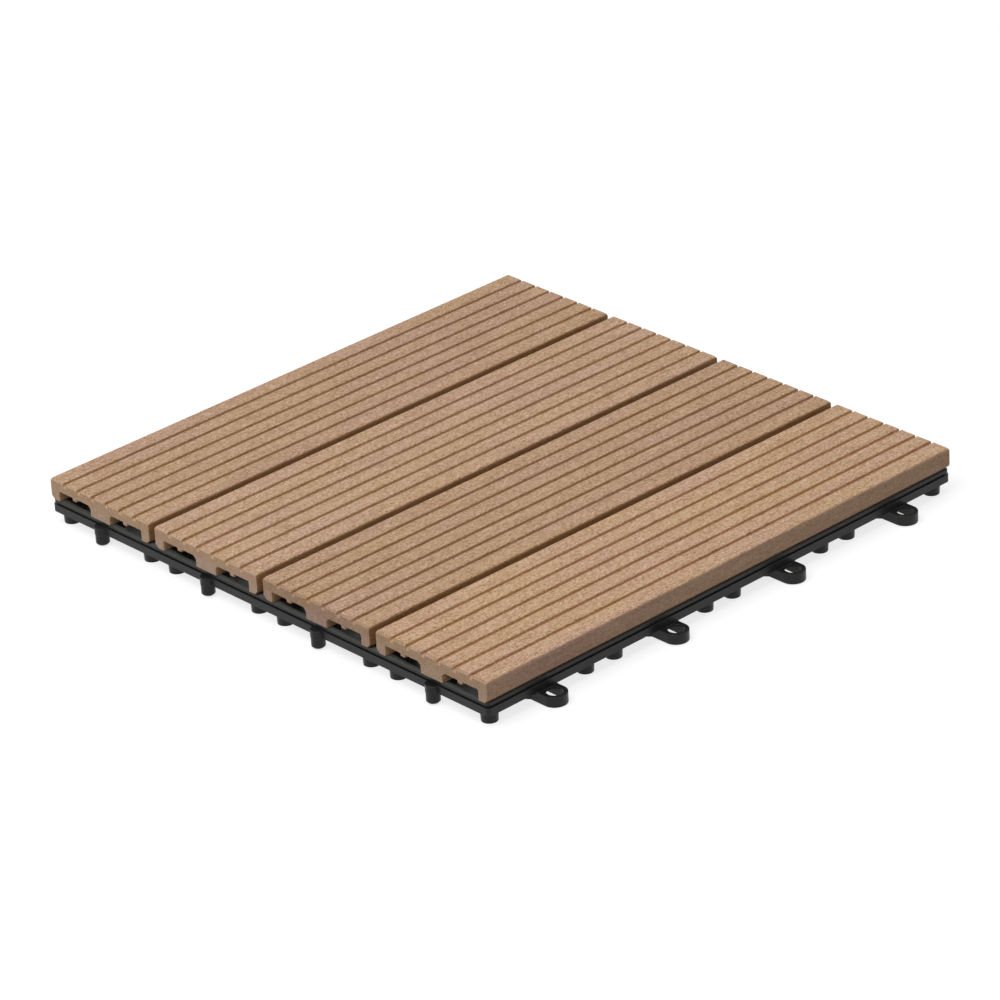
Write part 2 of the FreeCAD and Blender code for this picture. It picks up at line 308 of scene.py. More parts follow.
@dataclass(frozen=True)
class WoodPlastic(Finish):
    """Wood-plastic composite: brushed on top, a moulded skin in the grooves, and sawn ends.

    Attributes:
        tone: colour of the brushed top.
        end: factors that give the colour of the sawn ends.
        shift: how many strides its pattern is moved, so that no two slats match.
        stride: one such move, in mm.
        sliver_grain, saw_grain: slivers and saw lines to the millimetre along each axis.
        top: height of the walking face, in mm.
        ceiling: height where the hollows start, in mm.
        outside: plane of the tile's two long outer sides, in mm.
        pitch: distance from one slat to the next, in mm.
        half_width: half of a slat's width, in mm.
        streaks, fibres, speckle, mottle: how far each pattern swings the light.
        slivers: how much lighter or darker a sliver of wood is.
        darkest: the lowest that the swings may go.
        red_power, blue_power: how red and blue follow the light, so that darks are warm.
        pink, yellow: factors of the two tints that drift over the top.
        groove_skin, joint_shade, outer_skin: factors of the skin in the grooves, of the painted
        shade on the slats' sides in the joints between slats, and of the skin on the tile's outer
        sides.
        core_cut: factors of the sawn core against the sawn plate.
        skin_rough, top_rough: roughness of the skin and of the brushed top.
        sawn_rough: what the saw adds to that.
        rough_swing: how far the fibres swing it.
        relief: height of the grain, in mm.
        specular: level of the shine.
    """

    tone: Colour
    end: Colour
    shift: float
    stride: Triple = (391.0, 83.0, 20.0)
    sliver_grain: Triple = (0.42, 1.7, 1.7)
    saw_grain: Triple = (0.0, 0.35, 0.12)
    top: float = 23.0
    ceiling: float = 17.3
    outside: float = 148.0
    pitch: float = 75.0
    half_width: float = 35.5
    streaks: float = 0.62
    fibres: float = 0.80
    speckle: float = 2.60
    mottle: float = 0.28
    slivers: float = 0.48
    darkest: float = 0.1
    red_power: float = 0.79
    blue_power: float = 1.38
    pink: Colour = (1.02, 0.985, 1.02)
    yellow: Colour = (1.03, 1.02, 0.93)
    groove_skin: Colour = (1.13, 1.12, 1.01)
    joint_shade: Colour = (0.80, 0.67, 0.48)
    outer_skin: Colour = (0.89, 0.87, 0.92)
    core_cut: Colour = (1.03, 1.08, 1.21)
    skin_rough: float = 0.60
    top_rough: float = 0.76
    sawn_rough: float = 0.12
    rough_swing: float = 0.25
    relief: float = 0.10
    specular: float = 0.16

    def material(self) -> bpy.types.Material:
        """Builds the material.

        Returns:
            The material.
        """
        material, graph, place, shader = self.start()
        normal = graph.out("ShaderNodeNewGeometry", output="True Normal")
        sawn = graph.ramp(graph.maths("ABSOLUTE", graph.part(normal, "X")), 0.45, 0.75)
        brushed = graph.ramp(graph.part(place, "Z"), self.top - 0.75, self.top - 0.25)
        half_skin = graph.ramp(brushed, 0.0, 1.0, 0.5, 1.0)
        pattern = graph.vector("ADD", {0: place, 1: scaled(self.stride, self.shift)})
        streak = graph.noise(pattern, Pattern.STREAK)
        fibre = graph.noise(pattern, Pattern.FIBRE)

        base = self.tint(graph, pattern)
        part = graph.blend(sawn, self.skin(graph, place, brushed), self.cut(graph, place))
        base = graph.blend(1.0, base, part, "MULTIPLY")
        swings = self.swings(graph, pattern, (streak, fibre), half_skin)
        colour = graph.vector("MULTIPLY", {0: base, 1: swings})

        grain = graph.maths("ADD", graph.times(fibre, 0.6), graph.times(streak, 0.8))
        cases = {"Factor": sawn, "A": grain, "B": self.saw_lines(graph, pattern)}
        relief = graph.out("ShaderNodeMix", cases, data_type="FLOAT")
        relief = graph.times(relief, half_skin)

        rough = graph.maths("ADD", graph.ramp(brushed, 0.0, 1.0, self.skin_rough, self.top_rough),
                            graph.times(sawn, self.sawn_rough),
                            graph.swing(fibre, self.rough_swing))
        graph.fill(shader, {"Base Color": colour, "Roughness": rough,
                            "Normal": graph.bump(relief, self.relief),
                            "Specular IOR Level": self.specular})
        return material

    def tint(self, graph: Graph, pattern: Socket) -> Socket:
        """The slat's colour, which drifts between a pink and a yellow tint."""
        drift = graph.ramp(graph.noise(pattern, Pattern.CLOUD), 0.34, 0.66)
        return graph.blend(drift, scaled(self.tone, *self.pink), scaled(self.tone, *self.yellow))

    def swings(self, graph: Graph, pattern: Socket, grains: tuple[Socket, Socket],
               half_skin: Socket) -> Socket:
        """The light and dark of streaks, fibres, specks and slivers, with warm darks.

        Args:
            graph: the material's graph.
            pattern: the moved coordinates.
            grains: the streaks' and the fibres' noise.
            half_skin: 1 on the brushed top and half on the skin, whose specks are fainter.

        Returns:
            A factor for each part of the colour.
        """
        speck = graph.swing(graph.noise(pattern, Pattern.SPECK), self.speckle)
        light = graph.maths(
            "ADD", 1.0, graph.swing(grains[0], self.streaks), graph.swing(grains[1], self.fibres),
            graph.times(speck, half_skin),
            graph.swing(graph.noise(pattern, Pattern.MOTTLE), self.mottle),
            graph.times(self.sliver(graph, pattern), self.slivers),
        )
        light = graph.maths("MAXIMUM", light, self.darkest)
        red = graph.maths("POWER", light, self.red_power)
        blue = graph.maths("POWER", light, self.blue_power)
        return graph.xyz(X=red, Y=light, Z=blue)

    def skin(self, graph: Graph, place: Socket, brushed: Socket) -> Socket:
        """Factors of the moulded skin, with painted shade in the joints; 1 where the top is
        brushed.

        Args:
            graph: the material's graph.
            place: coordinates in millimetres.
            brushed: 1 on the brushed top.

        Returns:
            The factors.
        """
        across = graph.maths("ABSOLUTE", graph.part(place, "Y"))
        offset = graph.maths("SUBTRACT", graph.maths("MODULO", across, self.pitch), self.pitch / 2)
        shaded_side = graph.ramp(graph.maths("ABSOLUTE", offset), self.half_width - 2.0,
                            self.half_width - 0.6)
        outer = graph.ramp(across, self.outside - 1.5, self.outside - 0.5)
        # Painted shade: the slats' sides in the joints get a darker, warmer colour in place of the
        # shade there.
        skin = graph.blend(shaded_side, self.groove_skin, self.joint_shade)
        skin = graph.blend(outer, skin, self.outer_skin)
        return graph.blend(brushed, skin, WHITE)

    def cut(self, graph: Graph, place: Socket) -> Socket:
        """Factors of the sawn end, whose core is paler than its plate."""
        core = graph.ramp(graph.part(place, "Z"), self.ceiling - 1.0, self.ceiling + 1.5, 1.0, 0.0)
        return graph.blend(core, self.end, scaled(self.end, *self.core_cut))

    def sliver(self, graph: Graph, pattern: Socket) -> Socket:
        """Short slivers of wood.

        Args:
            graph: the material's graph.
            pattern: the moved coordinates.

        Returns:
            Up to 1 where one is pale, down to -1 where it is dark.
        """
        stretched = graph.vector("MULTIPLY", {0: pattern, 1: self.sliver_grain})
        cells = graph.node("ShaderNodeTexVoronoi", {"Vector": stretched, "Scale": 1.0}).outputs
        chance = graph.out("ShaderNodeSeparateColor", {0: graph.pick(cells, "Color")}, "Red")
        inside = graph.ramp(graph.pick(cells, "Distance"), 0.12, 0.46, 1.0, 0.0)
        pale, dark = graph.ramp(chance, 0.70, 0.86), graph.ramp(chance, 0.10, 0.24, 1.0, 0.0)
        return graph.times(graph.maths("SUBTRACT", pale, dark), inside)

    def saw_lines(self, graph: Graph, pattern: Socket) -> Socket:
        """Fine lines that a saw leaves across the ends.

        Args:
            graph: the material's graph.
            pattern: the moved coordinates.

        Returns:
            The relief, about 0 to 1.
        """
        stretched = graph.vector("MULTIPLY", {0: pattern, 1: self.saw_grain})
        wave = graph.out("ShaderNodeTexWave", {
            "Vector": stretched, "Scale": 1.0, "Distortion": 1.6, "Detail": 3.0,
            "Detail Scale": 2.0,
        }, "Fac", bands_direction="Y")
        grit = graph.noise(pattern, Pattern.SAW_GRIT)
        return graph.maths("ADD", graph.times(wave, 0.4), grit)


@dataclass(frozen=True)
class MouldedPlastic(Finish):
    """Satin injection-moulded plastic with softened edges.

    Attributes:
        tone: its colour.
        thin, thick: factors of the tone where the melt ran thin and thick.
        edge: rounding of the edges that catch the light, in mm.
        edge_highlight: how much paler those edges are painted, as a painted highlight.
        ledge_highlight: colour of the painted highlight on the outer rail's upper face.
        highlight_height: height above which the painted highlight lies, in mm.
        highlight_reach: distance from the tile's middle past which the painted highlight lies, in
            mm.
        relief: height of the grain and sink marks, in mm.
        ior: index of refraction.
        specular: level of the shine.
    """

    tone: Colour = (0.0100, 0.0100, 0.0097)
    thin: float = 0.75
    thick: float = 1.4
    edge: float = 0.35
    edge_highlight: float = 4.5
    ledge_highlight: Colour = (0.105, 0.110, 0.098)
    highlight_height: float = 11.8
    highlight_reach: float = 144.5
    relief: float = 0.05
    ior: float = 1.49
    specular: float = 0.29

    def material(self) -> bpy.types.Material:
        """Builds the material.

        Returns:
            The material.
        """
        material, graph, place, shader = self.start()
        flow = graph.noise(place, Pattern.MELT_FLOW)
        grain = graph.noise(place, Pattern.MOULD_GRAIN)
        sink = graph.noise(place, Pattern.SINK_MARKS)
        colour = graph.blend(graph.ramp(flow, 0.3, 0.7), scaled(self.tone, self.thin),
                             scaled(self.tone, self.thick))
        rough = graph.maths("ADD", graph.ramp(flow, 0.3, 0.7, 0.27, 0.37),
                            graph.times(grain, 0.12))
        rounded = graph.out("ShaderNodeBevel", {"Radius": self.edge * MM}, samples=6)
        flat = graph.out("ShaderNodeNewGeometry", output="True Normal")
        along = graph.vector("DOT_PRODUCT", {0: rounded, 1: flat}, "Value")
        # Painted highlight: the tone made paler along the rounded edges, in patches that follow the
        # grain.
        highlit_edges = graph.times(graph.ramp(along, 0.80, 0.985, 1.0, 0.0),
                           graph.ramp(grain, 0.25, 0.6))
        colour = graph.blend(highlit_edges, colour, scaled(self.tone, self.edge_highlight))
        # Painted highlight: a pale colour laid on the outer rail's up-facing ledge, where it is lit
        # and where it is in shade.
        colour = graph.blend(self.highlit_ledge(graph, place, flat), colour, self.ledge_highlight)
        relief = graph.maths("ADD", graph.times(grain, 0.25), sink)
        graph.fill(shader, {"Base Color": colour, "Roughness": rough,
                            "Normal": graph.bump(relief, self.relief, {"Normal": rounded}),
                            "IOR": self.ior, "Specular IOR Level": self.specular})
        return material

    def highlit_ledge(self, graph: Graph, place: Socket, flat: Socket) -> Socket:
        """Where the painted highlight lies, on the outer rail's upper ledge.

        Args:
            graph: the material's graph.
            place: coordinates in millimetres.
            flat: the face's own normal.

        Returns:
            Its share.
        """
        outward = graph.vector("ABSOLUTE", {0: place})
        reach = graph.maths("MAXIMUM", graph.part(outward, "X"), graph.part(outward, "Y"))
        above = graph.maths("GREATER_THAN", graph.part(outward, "Z"), self.highlight_height)
        upward = graph.ramp(graph.part(flat, "Z"), 0.6, 0.9)
        return graph.times(above, upward, graph.maths("GREATER_THAN", reach, self.highlight_reach))


@dataclass(frozen=True)
class PlatedSteel(Finish):
    """Zinc-plated steel of the screws.

    Attributes:
        tone: its colour.
        dull: factor of the tone in the duller patches.
        relief: height of the grain, in mm.
    """

    tone: Colour = (0.61, 0.62, 0.63)
    dull: float = 0.86
    relief: float = 0.02

    def material(self) -> bpy.types.Material:
        """Builds the material.

        Returns:
            The material.
        """
        material, graph, place, shader = self.start()
        patch = graph.noise(place, Pattern.PLATING_PATCHES)
        fine = graph.noise(place, Pattern.PLATING_GRAIN)
        colour = graph.blend(graph.ramp(patch, 0.35, 0.65), scaled(self.tone, self.dull), self.tone)
        rough = graph.maths("ADD", graph.ramp(patch, 0.3, 0.7, 0.22, 0.36),
                            graph.times(fine, 0.08))
        graph.fill(shader, {"Base Color": colour, "Roughness": rough, "Metallic": 1.0,
                            "Normal": graph.bump(fine, self.relief, {"Strength": 0.6})})
        return material


@dataclass(frozen=True)
class StudioFloor(Finish):
    """Pale floor: white where it is seen, plainer where it only throws light back.

    Attributes:
        seen: colour for the camera and for reflections.
        bounce: colour for the light that it throws on the object.
        patchy: factor of the seen colour in its darker patches.
        glow: light of its own, which keeps the shadow soft and pale.
        rough: its roughness.
    """

    seen: Colour = (0.30, 0.30, 0.30)
    bounce: Colour = (0.36, 0.36, 0.36)
    patchy: float = 0.985
    glow: float = 0.78
    rough: float = 0.9

    def material(self) -> bpy.types.Material:
        """Builds the material.

        Returns:
            The material.
        """
        material, graph, place, shader = self.start()
        patch = graph.noise(place, Pattern.FLOOR_PATCHES)
        tint = graph.blend(patch, scaled(self.seen, self.patchy), self.seen)
        viewed = seen_share(graph)
        graph.fill(shader, {
            "Base Color": graph.blend(viewed, self.bounce, tint), "Roughness": self.rough,
            "Specular IOR Level": 0.0, "Emission Color": WHITE,
            "Emission Strength": graph.times(viewed, self.glow),
        })
        return material


def seen_share(graph: Graph) -> Socket:
    """1 for rays that show a surface, straight or in a reflection, and 0 for the rest.

    Args:
        graph: the tree that needs it.

    Returns:
        The share.
    """
    rays = graph.node("ShaderNodeLightPath").outputs
    kinds = ("Is Camera Ray", "Is Glossy Ray", "Is Transmission Ray")
    return graph.maths("MAXIMUM", *(graph.pick(rays, kind) for kind in kinds))


class GrowTree:
    """A geometry node tree with named inputs, run once on a mesh."""

    def __init__(self, name: str) -> None:
        """Makes the tree with its geometry in and out.

        Args:
            name: the tree's name.
        """
        self.tree = bpy.data.node_groups.new(name, "GeometryNodeTree")
        self.graph = Graph(self.tree)
        self.values: dict[str, Any] = {}
        for way in ("INPUT", "OUTPUT"):
            self.tree.interface.new_socket("Geometry", in_out=way, socket_type="NodeSocketGeometry")
        self.start = self.tree.nodes.new("NodeGroupInput")
        self.end = self.tree.nodes.new("NodeGroupOutput")

    def value(self, name: str, kind: str, value: Any) -> Socket:
        """Adds a named input.

        Args:
            name: its name.
            kind: what it takes, such as Int or Material.
            value: what it is set to.

        Returns:
            The socket inside the tree.
        """
        made = self.tree.interface.new_socket(name, in_out="INPUT", socket_type=f"NodeSocket{kind}")
        self.values[made.identifier] = value
        return self.start.outputs[name]

    def length(self, name: str, value: float) -> Socket:
        """Adds a named length, given in mm."""
        return self.value(name, "Float", value * MM)

    def finish(self, geometry: Socket, finish: bpy.types.Material) -> None:
        """Ends the tree in real, dressed geometry.

        Args:
            geometry: what was grown.
            finish: its material.
        """
        real = self.graph.out("GeometryNodeRealizeInstances", {"Geometry": geometry})
        inputs = {"Geometry": real, "Material": self.value("Finish", "Material", finish)}
        dressed = self.graph.out("GeometryNodeSetMaterial", inputs)
        self.tree.links.new(dressed, self.end.inputs[0])

    def grow(self, host: bpy.types.Object) -> bpy.types.Object:
        """Runs the tree on an object and keeps the result as its plain mesh.

        Args:
            host: the object with the starting mesh.

        Returns:
            The same object.
        """
        modifier = host.modifiers.new("grow", "NODES")
        modifier.node_group = self.tree
        for identifier, value in self.values.items():
            modifier[identifier] = value
        return settle(host)


def settle(obj: bpy.types.Object) -> bpy.types.Object:
    """Turns an object's modifiers into a plain mesh.

    Args:
        obj: the object.

    Returns:
        The same object, with no modifiers.
    """
    graph = bpy.context.evaluated_depsgraph_get()
    mesh = bpy.data.meshes.new_from_object(obj.evaluated_get(graph), depsgraph=graph,
                                           preserve_all_data_layers=True)
    obj.modifiers.clear()
    old = obj.data
    obj.data = mesh
    mesh.name = obj.name
    bpy.data.meshes.remove(old)
    return obj


def smooth(obj: bpy.types.Object) -> bpy.types.Object:
    """Closes a mesh, points its faces outwards and shades it smoothly between its sharp edges.

    Args:
        obj: the object.

    Returns:
        The same object.
    """
    mesh = bmesh.new()
    mesh.from_mesh(obj.data)
    bmesh.ops.remove_doubles(mesh, verts=mesh.verts, dist=WELD * MM)
    bmesh.ops.recalc_face_normals(mesh, faces=mesh.faces)
    for face in mesh.faces:
        face.smooth = True
    for edge in mesh.edges:
        edge.smooth = len(edge.link_faces) == 2 and edge.calc_face_angle(0.0) < SHARP_ANGLE
    mesh.to_mesh(obj.data)
    mesh.free()
    weighted = obj.modifiers.new("weighted", "WEIGHTED_NORMAL")
    weighted.keep_sharp = True
    return settle(obj)


def new_object(name: str, data: bpy.types.ID) -> bpy.types.Object:
    """Adds an object to the scene.

    Args:
        name: its name.
        data: its mesh, lamp or camera.

    Returns:
        The object.
    """
    made = bpy.data.objects.new(name, data)
    bpy.context.scene.collection.objects.link(made)
    return made


def report(obj: bpy.types.Object) -> None:
    """Writes a piece and its number of faces to the log."""
    LOG.info("%s: %d faces", obj.name, len(obj.data.polygons))


@dataclass(frozen=True)
class Corner:
    """A corner of the slat's section, in mm.

    Attributes:
        across: place across the slat.
        height: place above the ground.
        radius: rounding.
    """

    across: float
    height: float
    radius: float

    @property
    def point(self) -> Vector:
        """The corner as a vector."""
        return Vector((self.across, self.height))


@dataclass(frozen=True)
class SlatSection:
    """Section of a slat, in mm about its middle line.

    Attributes:
        width: across the slat.
        bottom, top: heights above the ground.
        plate: thickness of the walking plate.
        leg, core: widths of the outer legs and of the middle one.
        flare: thickening where the core meets the plate.
        rib_width, rib_drop: the low rib on each hollow's ceiling.
        grooves, groove_pitch, groove_width, groove_depth: the grooves in the top.
        lip_round, floor_round: rounding at a groove's mouth and floor.
        edge_round: rounding of the two long top edges.
        leg_chamfer: lower outer edge of the outer legs.
        foot_round, inner_round: rounding of lower corners and of the hollows' corners.
        steps: parts that a rounding is made of.
    """

    width: float = 71.0
    bottom: float = 12.0
    top: float = 23.0
    plate: float = 5.7
    leg: float = 6.0
    core: float = 14.0
    flare: float = 1.5
    rib_width: float = 3.0
    rib_drop: float = 1.4
    grooves: int = 6
    groove_pitch: float = 10.0
    groove_width: float = 1.9
    groove_depth: float = 1.6
    lip_round: float = 0.42
    floor_round: float = 0.35
    edge_round: float = 1.2
    leg_chamfer: float = 2.0
    foot_round: float = 0.3
    inner_round: float = 0.5
    steps: int = 4

    def corners(self) -> list[Corner]:
        """The corners in order, from the core's right foot up, over the top and down on the left.

        Returns:
            The corners.
        """
        half = self.width / 2
        ceiling = self.top - self.plate
        core = self.core / 2
        hollow = half - self.leg
        rib = (core + hollow) / 2
        drop = ceiling - self.rib_drop
        inner, foot = self.inner_round, self.foot_round
        right = [
            Corner(core, self.bottom, foot),
            Corner(core, ceiling - self.flare, inner),
            Corner(core + self.flare, ceiling, inner),
            Corner(rib - self.rib_width / 2, ceiling, inner),
            Corner(rib - self.rib_width / 2, drop, foot),
            Corner(rib + self.rib_width / 2, drop, foot),
            Corner(rib + self.rib_width / 2, ceiling, inner),
            Corner(hollow, ceiling, inner),
            Corner(hollow, self.bottom, foot),
            Corner(half - self.leg_chamfer, self.bottom, foot),
            Corner(half, self.bottom + self.leg_chamfer, foot),
            Corner(half, self.top, self.edge_round),
        ]
        over = []
        side = self.groove_width / 2
        floor = self.top - self.groove_depth
        for number in reversed(range(self.grooves)):
            middle = (number - (self.grooves - 1) / 2) * self.groove_pitch
            over += [
                Corner(middle + side, self.top, self.lip_round),
                Corner(middle + side, floor, self.floor_round),
                Corner(middle - side, floor, self.floor_round),
                Corner(middle - side, self.top, self.lip_round),
            ]
        left = [Corner(-c.across, c.height, c.radius) for c in reversed(right)]
        return right + over + left

    def outline(self) -> list[Vector]:
        """The rounded outline.

        Returns:
            Its points, in mm.
        """
        corners = self.corners()
        points: list[Vector] = []
        for before, here, after in zip(corners[-1:] + corners, corners, corners[1:] + corners[:1]):
            points += self.arc(before.point, here, after.point)
        return points

    def arc(self, before: Vector, corner: Corner, after: Vector) -> list[Vector]:
        """The points that round one corner.

        Args:
            before: the corner before it.
            corner: the corner.
            after: the corner after it.

        Returns:
            The points, in order.
        """
        here = corner.point
        back, on = (before - here).normalized(), (after - here).normalized()
        half = math.acos(max(-1.0, min(1.0, back.dot(on)))) / 2
        reach = corner.radius / math.tan(half)
        centre = here + (back + on).normalized() * (corner.radius / math.sin(half))
        first, last = here + back * reach - centre, here + on * reach - centre
        turn = first.angle_signed(last)
        points = []
        for step in range(self.steps + 1):
            angle = -turn * step / self.steps
            cos, sin = math.cos(angle), math.sin(angle)
            turned = Vector((first.x * cos - first.y * sin, first.x * sin + first.y * cos))
            points.append(centre + turned)
        return points

    def mesh(self, name: str, middle: float) -> bpy.types.Mesh:
        """The outline as a loop of edges that carries the way into the slat at each point.

        Args:
            name: the mesh's name.
            middle: the slat's middle line, in mm.

        Returns:
            The mesh, flat, with the slat's width along X and its height along Y.
        """
        points = self.outline()
        count = len(points)
        inward = []
        for number, here in enumerate(points):
            along = (points[(number + 1) % count] - points[number - 1]).normalized()
            inward.append(Vector((-along.y, along.x)))
        mesh = bpy.data.meshes.new(name)
        places = [((p.x + middle) * MM, p.y * MM, 0.0) for p in points]
        mesh.from_pydata(places, [(k, (k + 1) % count) for k in range(count)], [])
        attribute = mesh.attributes.new(INWARD, "FLOAT_VECTOR", "POINT")
        attribute.data.foreach_set("vector", [part for v in inward for part in (v.x, v.y, 0.0)])
        return mesh


@dataclass
class Slat:
    """One slat.

    Attributes:
        number: 1 to 4, from the -Y side.
        middle: its middle line, in mm.
        finish: its material's settings.
        section: its section.
        length: its length, in mm.
        ease: how far back from the sawn ends their edges are eased, in mm.
        top_drop: how far that takes the walking face down, in mm.
        side_tuck: how far it takes the other faces in, in mm.
        pilot_rows: the screw holes' places along it, each side of its middle, in mm.
        pilot_radius: their radius, in mm.
        pilot_depth: their depth, in mm.
        pilot_sides: how many sides stand for the round.
        seam: gap that is closed where the ends meet the body, in mm.
    """

    number: int
    middle: float
    finish: WoodPlastic
    section: SlatSection = field(default_factory=SlatSection)
    length: float = 296.0
    ease: float = 0.85
    top_drop: float = 1.0
    side_tuck: float = 0.22
    pilot_rows: Pair = (27.5, 110.0)
    pilot_radius: float = 1.8
    pilot_depth: float = 8.0
    pilot_sides: int = 28
    seam: float = 0.004

    def build(self) -> bpy.types.Object:
        """Grows the slat from its section.

        Returns:
            The finished piece.
        """
        name = f"decking_slat_{self.number}"
        host = new_object(name, self.section.mesh(name, self.middle))
        grown = GrowTree(f"slat_{self.number}_growth")
        body = self.drill(grown, self.sweep(grown))
        grown.finish(body, self.finish.material())
        piece = smooth(grown.grow(host))
        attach(piece, BODY)
        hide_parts(f"slat_{self.number}")
        report(piece)
        return piece

    def tuck(self, grown: GrowTree) -> Socket:
        """How far each point of the section moves in at the very end of the slat.

        Args:
            grown: the slat's tree.

        Returns:
            The way in, further down from the walking face than in from the other faces.
        """
        graph = grown.graph
        drop = grown.length("Top Drop", self.top_drop)
        side = grown.length("Side Tuck", self.side_tuck)
        inward = graph.out("GeometryNodeInputNamedAttribute", {"Name": INWARD},
                           data_type="FLOAT_VECTOR")
        downward = graph.maths("LESS_THAN", graph.part(inward, "Y"), 0.0)
        extra = graph.times(graph.maths("SUBTRACT", drop, side), downward)
        amounts = graph.xyz(X=side, Y=graph.maths("ADD", side, extra))
        return graph.vector("MULTIPLY", {0: inward, 1: amounts})

    def sweep(self, grown: GrowTree) -> Socket:
        """Draws the section out along the slat, closes both ends and eases their edges.

        Args:
            grown: the slat's tree.

        Returns:
            The closed body, lying along X.
        """
        graph = grown.graph
        length = grown.length("Length", self.length)
        ease = grown.length("End Ease", self.ease)
        tuck = self.tuck(grown)
        untuck = graph.vector("SCALE", {"Vector": tuck, "Scale": -1.0})
        far_end = graph.xyz(Z=graph.times(length, -0.5))
        step = graph.xyz(Z=ease)
        span = graph.xyz(Z=graph.maths("SUBTRACT", length, graph.times(ease, 2.0)))

        offset = graph.vector("ADD", {0: tuck, 1: far_end})
        start = graph.out("GeometryNodeSetPosition",
                          {"Geometry": grown.start.outputs[0], "Offset": offset})
        body, edge = start, None
        for reach, push in ((step, untuck), (span, None), (step, tuck)):
            inputs = {"Mesh": body, "Offset": reach, "Offset Scale": 1.0}
            if edge is not None:
                inputs["Selection"] = edge
            drawn = graph.node("GeometryNodeExtrudeMesh", inputs, mode="EDGES")
            body, edge = graph.pick(drawn.outputs, "Mesh"), graph.pick(drawn.outputs, "Top")
            if push is not None:
                inputs = {"Geometry": body, "Selection": edge, "Offset": push}
                body = graph.out("GeometryNodeSetPosition", inputs)

        rim = graph.out("GeometryNodeMeshToCurve", {"Mesh": start})
        cap = graph.out("GeometryNodeFillCurve", {"Curve": rim}, mode="NGONS")
        other_end = graph.vector("SCALE", {"Vector": far_end, "Scale": -1.0})
        caps = [graph.out("GeometryNodeTransform", {"Geometry": cap, "Translation": end})
                for end in (other_end, far_end)]
        merged = graph.out("GeometryNodeMergeByDistance",
                           {"Geometry": graph.join(*caps, body), "Distance": self.seam * MM})
        turn = (math.pi / 2, 0.0, math.pi / 2)
        return graph.out("GeometryNodeTransform", {"Geometry": merged, "Rotation": turn})

    def drill(self, grown: GrowTree, body: Socket) -> Socket:
        """Drills the pilot holes up into the core.

        Args:
            grown: the slat's tree.
            body: the slat.

        Returns:
            The drilled slat.
        """
        graph = grown.graph
        radius = grown.length("Pilot Radius", self.pilot_radius)
        depth = grown.length("Pilot Depth", self.pilot_depth)
        bit = graph.out("GeometryNodeMeshCylinder", {
            "Vertices": self.pilot_sides, "Radius": radius, "Depth": graph.times(depth, 2.0),
        })
        for name, row in zip(("Inner Row", "Outer Row"), self.pilot_rows):
            reach = grown.length(name, row)
            for side in (-1.0, 1.0):
                place = graph.xyz(X=graph.times(reach, side), Y=self.middle * MM,
                                  Z=self.section.bottom * MM)
                placed = graph.out("GeometryNodeTransform", {"Geometry": bit, "Translation": place})
                body = graph.cut(body, placed)
        return body


